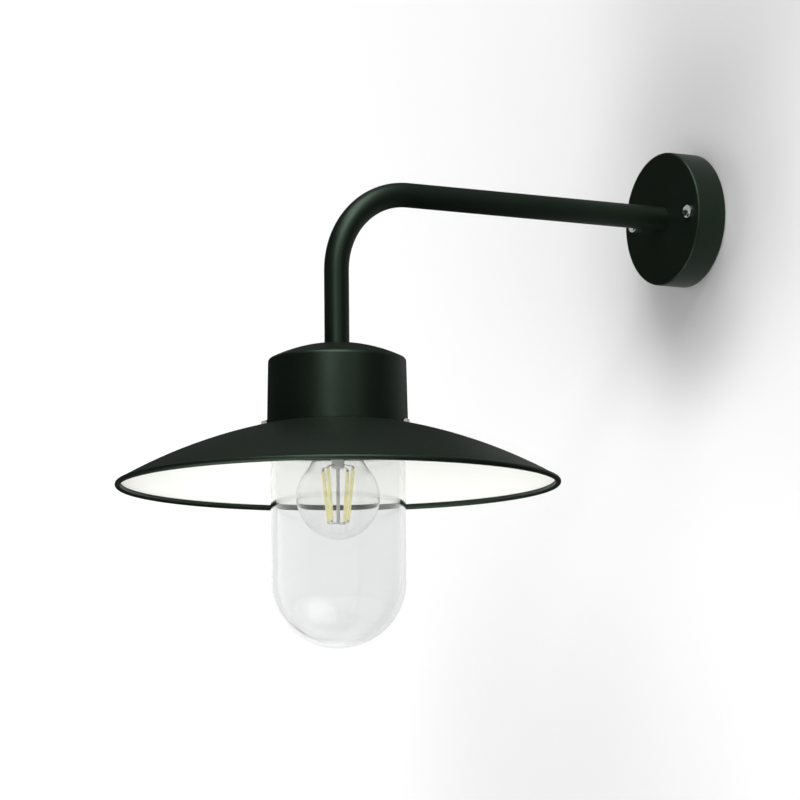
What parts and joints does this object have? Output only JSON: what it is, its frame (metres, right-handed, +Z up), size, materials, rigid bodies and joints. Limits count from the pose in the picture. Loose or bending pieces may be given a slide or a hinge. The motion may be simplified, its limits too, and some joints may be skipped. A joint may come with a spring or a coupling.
{
  "type": "wall bracket light",
  "caption": "Barn-style wall light: round rose, bent tube arm, drum cap, dished shade and a clear screw-on glass jar round a filament lamp.",
  "frame": {"origin": "centre of the rose's back on the wall, on the arm's axis, midway between the wall plate's two slots", "axes": "+Y into the wall, +Z up, +X to the right as one faces the wall; the light stands out along -Y"},
  "size_m": [0.32, 0.465, 0.383],
  "materials": {
    "green_coat": "satin dark green powder coat",
    "green_casting": "die-cast aluminium in satin dark green powder coat",
    "zinc_steel": "bright zinc plated steel",
    "stainless": "bright stainless steel",
    "brass": "bare turned brass",
    "nickel": "nickel plated brass",
    "porcelain": "white glazed porcelain",
    "black_rubber": "black rubber",
    "silicone": "milky silicone",
    "nylon": "natural nylon",
    "brown_cover": "brown silicone cover",
    "blue_cover": "blue silicone cover",
    "earth_cover": "green and yellow silicone cover",
    "jar_glass": "clear pressed glass",
    "lamp_glass": "clear blown glass",
    "black_glass": "black vitrified insulator",
    "filament": "yellow phosphor over a ceramic strip",
    "board": "green circuit board"
  },
  "bodies": {
    "fixture": {"wall_plate": "zinc_steel", "cable_grommet": "black_rubber", "rose": "green_coat", "rose_screws": "stainless", "terminal_block": "nylon", "terminal_barrels": "brass", "terminal_clamp_screws": "zinc_steel", "block_screws": "zinc_steel", "arm_tube": "green_coat", "wall_nipple": "zinc_steel", "wall_washer": "zinc_steel", "wall_nut": "zinc_steel", "lamp_nipple": "zinc_steel", "lamp_washer": "zinc_steel", "lamp_nut": "zinc_steel", "strap_nut": "zinc_steel", "cap": "green_casting", "holder_strap": "zinc_steel", "lampholder": "porcelain", "contact_shell": "nickel", "centre_contact": "brass", "holder_terminals": "brass", "terminal_screws": "zinc_steel", "holder_screws": "zinc_steel", "earth_tag": "brass", "earth_screw": "zinc_steel", "live_lead": "brown_cover", "neutral_lead": "blue_cover", "earth_lead": "earth_cover", "shade": "green_coat", "shade_screws": "stainless", "glass_collar": "green_casting", "collar_screws": "stainless"},
    "jar_thread": {"jar_seal": "silicone"},
    "jar": {"glass_jar": "jar_glass"},
    "lamp_thread": {"lamp_foot_contact": "brass"},
    "lamp": {"lamp_glass": "lamp_glass", "lamp_shell": "nickel", "lamp_insulator": "black_glass", "lamp_stem": "lamp_glass", "filament_supports": "nickel", "led_filaments": "filament", "lamp_driver": "board"}
  },
  "joints": [
    {"name": "jar_drop", "type": "slide", "parent": "fixture", "child": "jar_thread", "axis": [0, 0, -1], "range_m": [0, 0.0101]},
    {"name": "jar_turn", "type": "hinge", "parent": "jar_thread", "child": "jar", "pos_m": [0, -0.305, -0.185], "axis": [0, 0, -1], "range_deg": [0, 720]},
    {"name": "lamp_drop", "type": "slide", "parent": "fixture", "child": "lamp_thread", "axis": [0, 0, -1], "range_m": [0, 0.01825]},
    {"name": "lamp_turn", "type": "hinge", "parent": "lamp_thread", "child": "lamp", "pos_m": [0, -0.305, -0.166], "axis": [0, 0, -1], "range_deg": [0, 1800]}
  ],
  "couplings": [
    {"joint": "jar_drop", "follows": "jar_turn", "m_per_rad": 0.00079577},
    {"joint": "lamp_drop", "follows": "lamp_turn", "m_per_rad": 0.00057757}
  ]
}
